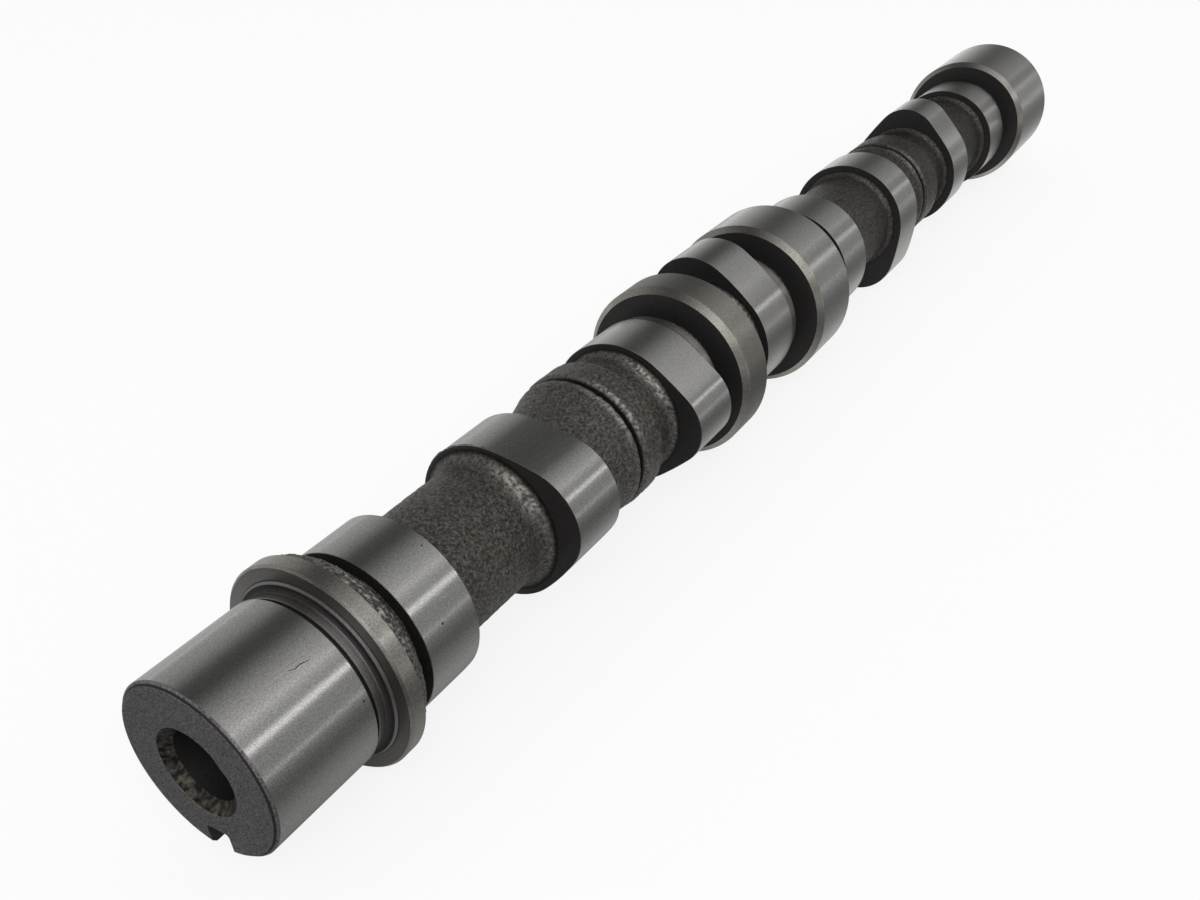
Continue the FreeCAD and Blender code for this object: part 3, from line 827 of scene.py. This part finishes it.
# Under the middle of the shaft the board levels dip near black: a painted shadow of the shaft, seen
# in reflections.
BOARD_LEVELS = [
    # distance from the shaft's axis towards -Y in mm, and the levels of the board there beside its
    # nose and its rear
    (-400, 0.50, 1.50), (-60, 0.54, 1.50), (-14, 0.44, 1.20), (-2, 0.08, 0.20), (2, 0.08, 0.20),
    (8, 0.18, 0.50), (14, 0.28, 0.85), (20, 0.32, 0.72), (26, 0.29, 0.40), (32, 0.25, 0.30),
    (42, 0.18, 0.22), (56, 0.14, 0.18), (75, 0.17, 0.20), (100, 0.20, 0.25), (160, 0.28, 0.30),
    (350, 0.36, 0.36),
]


def grey(level):
    return (level, level, level, 1.0)


def emptied(owner):
    """The node tree of a material or a world, with nothing in it."""
    owner.use_nodes = True
    owner.node_tree.nodes.clear()
    return owner.node_tree


def seen_directly(tree):
    """One where the camera, a reflection or a view through glass meets the surface."""
    path = add(tree, "ShaderNodeLightPath")
    first = add(tree, "ShaderNodeMath", {0: path.outputs["Is Camera Ray"],
                                          1: path.outputs["Is Glossy Ray"]}, operation="MAXIMUM")
    return add(tree, "ShaderNodeMath", {0: first.outputs[0],
                                         1: path.outputs["Is Transmission Ray"]},
               operation="MAXIMUM").outputs[0]


# White paper: matt, and just white where it is seen directly.
paper = bpy.data.materials.new("white_paper")
tree = emptied(paper)
dull = add(tree, "ShaderNodeBsdfDiffuse", {"Color": linear("#f2f2f2")})
glow = add(tree, "ShaderNodeEmission", {"Color": linear("#ffffff"), "Strength": 1.0})
share = add(tree, "ShaderNodeMath", {0: seen_directly(tree), 1: SHEET_GLOW}, operation="MULTIPLY")
both = add(tree, "ShaderNodeMixShader", {0: share.outputs[0], 1: dull.outputs[0],
                                          2: glow.outputs[0]})
add(tree, "ShaderNodeOutputMaterial", {"Surface": both.outputs[0]})
corners = [(-SHEET_REACH, -SHEET_REACH, FLOOR), (SHEET_REACH, -SHEET_REACH, FLOOR),
           (SHEET_REACH, SHEET_REACH, FLOOR), (-SHEET_REACH, SHEET_REACH, FLOOR)]
put_in_scene("sheet", new_mesh("sheet", corners, [(0, 1, 2, 3)], [paper]))

# The room's light is white where it is seen directly, and a little less on matt surfaces.
AIR_LIGHT = (0.75, 0.75, 0.76, 1.0)
world = bpy.data.worlds.new("studio")
bpy.context.scene.world = world
tree = emptied(world)
air = add(tree, "ShaderNodeMix", {0: seen_directly(tree), 6: AIR_LIGHT,
                                   7: grey(1.0)}, data_type="RGBA")
background = add(tree, "ShaderNodeBackground", {"Color": air.outputs[2], "Strength": 1.0})
add(tree, "ShaderNodeOutputWorld", {"Surface": background.outputs[0]})


def in_reflections_only(name, points, faces, place, levels, span):
    """A glowing sheet of the studio, hidden from the camera and from matt surfaces.

    Its level follows one ramp where the span along the shaft starts and another where it ends.
    """
    paint = bpy.data.materials.new(name + "_paper")
    tree = emptied(paint)
    across = place(tree)
    ramps = []
    for end in (1, 2):
        ramp = add(tree, "ShaderNodeValToRGB", {"Fac": across})
        shade(ramp, [(level[0], grey(level[end])) for level in levels])
        ramps.append(ramp.outputs["Color"])
    apart = add(tree, "ShaderNodeSeparateXYZ",
                {0: add(tree, "ShaderNodeTexCoord").outputs["Object"]})
    along = add(tree, "ShaderNodeMapRange", {"Value": apart.outputs["X"], "From Min": span[0],
                                              "From Max": span[1]})
    both = add(tree, "ShaderNodeMix", {0: along.outputs["Result"], 6: ramps[0], 7: ramps[1]},
               data_type="RGBA")
    light = add(tree, "ShaderNodeEmission", {"Color": both.outputs[2], "Strength": 1.0})
    add(tree, "ShaderNodeOutputMaterial", {"Surface": light.outputs[0]})
    made = put_in_scene(name, new_mesh(name, points, faces, [paint]))
    made.visible_camera = False
    made.visible_diffuse = False
    made.visible_shadow = False


def share_of_turn(tree):
    """Angle round the shaft, from 0 at +Y through +Z to 1 at -Y."""
    apart = add(tree, "ShaderNodeSeparateXYZ",
                {0: add(tree, "ShaderNodeTexCoord").outputs["Object"]})
    angle = add(tree, "ShaderNodeMath", {0: apart.outputs["Z"], 1: apart.outputs["Y"]},
                operation="ARCTAN2")
    return add(tree, "ShaderNodeMapRange", {"Value": angle.outputs[0], "From Min": 0.0,
                                             "From Max": math.pi}).outputs["Result"]


def share_of_reach(tree):
    """Distance across the boards, from 0 at the back edge to 1 at the front edge."""
    apart = add(tree, "ShaderNodeSeparateXYZ",
                {0: add(tree, "ShaderNodeTexCoord").outputs["Object"]})
    return add(tree, "ShaderNodeMapRange", {"Value": apart.outputs["Y"],
                                             "From Min": BOARD_REACH,
                                             "From Max": -BOARD_REACH}).outputs["Result"]


def arch(near, far, radius, first, last, sides):
    """Points and faces of a sheet bent round the shaft between two angles, in degrees."""
    points = []
    for index in range(sides + 1):
        angle = math.radians(first + (last - first) * index / sides)
        for along in (near, far):
            points.append((along, radius * math.cos(angle), radius * math.sin(angle)))
    return points, [(2 * i, 2 * i + 1, 2 * i + 3, 2 * i + 2) for i in range(sides)]


points, faces = arch(TENT_NEAR, TENT_FAR, TENT_RADIUS, TENT_FROM, TENT_TO, TENT_SIDES)
levels = [(angle / 180.0, near, far) for angle, near, far in TENT_LEVELS]
in_reflections_only("tent", points, faces, share_of_turn, levels, TENT_SPAN)


def board(name, near, far, right_side, left_side, levels, span):
    """A board on the sheet, between two distances along the shaft and two towards +Y."""
    height = FLOOR + BOARD_LIFT
    points = [(near, right_side, height), (far, right_side, height), (far, left_side, height),
              (near, left_side, height)]
    in_reflections_only(name, points, [(0, 1, 2, 3)], share_of_reach, levels, span)


levels = [((place * MM + BOARD_REACH) / (2 * BOARD_REACH), near, far)
          for place, near, far in BOARD_LEVELS]
board("board_in_front", BOARD_NOSE_EDGE, BOARD_REAR_EDGE, -BOARD_REACH, -BOARD_GAP, levels,
      BOARD_FRONT_SPAN)
board("board_behind", BOARD_NOSE_EDGE, BOARD_REAR_EDGE, BOARD_GAP, BOARD_REACH, levels,
      BOARD_BEHIND_SPAN)
board("board_before_nose", BOARD_AHEAD_EDGE, BOARD_NOSE_EDGE, -BOARD_REACH, BOARD_REACH,
      [(0.0, 0.18, 0.18), (1.0, 0.08, 0.08)], BOARD_FRONT_SPAN)

# A lamp behind the camera lights the bevels and fillets that face it, and a grey sheet closes the
# tent there. Both are the same all along the shaft.
LAMP_NEAR, LAMP_FAR = -1.3, -0.25
LAMP_RADIUS = 0.86
LAMP_FROM, LAMP_TO = 96.0, 148.0
LAMP_SIDES = 12
LAMP_LEVELS = [(0.54, 0.6), (0.65, 1.0), (0.7, 1.35), (0.75, 0.9), (0.82, 0.6)]
points, faces = arch(LAMP_NEAR, LAMP_FAR, LAMP_RADIUS, LAMP_FROM, LAMP_TO, LAMP_SIDES)
in_reflections_only("lamp_behind_camera", points, faces, share_of_turn,
                    [(turn, level, level) for turn, level in LAMP_LEVELS], TENT_SPAN)
points = [(TENT_NEAR, -1.0, -0.1), (TENT_NEAR, 1.0, -0.1), (TENT_NEAR, 1.0, 1.0),
          (TENT_NEAR, -1.0, 1.0)]
in_reflections_only("tent_end", points, [(0, 1, 2, 3)], share_of_turn,
                    [(0.0, 0.12, 0.12), (1.0, 0.28, 0.28)], TENT_SPAN)

key = bpy.data.lights.new("key", "AREA")
key.energy = 6.0
key.shape = "RECTANGLE"
key.size = 1.2
key.size_y = 0.6
lamp = put_in_scene("key", key)
lamp.location = (-0.5, -0.6, 1.0)
shaft_middle = Vector((0.15, 0, 0))
lamp.rotation_euler = (shaft_middle - lamp.location).to_track_quat("-Z", "Y").to_euler()

# Camera. It stands where the photograph was taken from, near the nose, above and to its left, and
# has the lens that was fitted to the photograph's edges.
CAMERA_PLACE = Vector((-72.30, -104.71, 124.99)) * MM
CAMERA_RIGHT = Vector((0.5363, -0.8441, 0.0))
CAMERA_FORWARD = Vector((0.7031, 0.4467, -0.5533))
lens = bpy.data.cameras.new("camera")
lens.sensor_width = 36.0
lens.lens = 35.257
lens.clip_start = 0.01
camera = put_in_scene("camera", lens)
forward = CAMERA_FORWARD.normalized()
up = CAMERA_RIGHT.normalized().cross(forward).normalized()
right = forward.cross(up)
turn = Matrix((right, up, -forward)).transposed()
camera.matrix_world = Matrix.Translation(CAMERA_PLACE) @ turn.to_4x4()
bpy.context.scene.camera = camera
bpy.context.scene.view_settings.view_transform = "Standard"
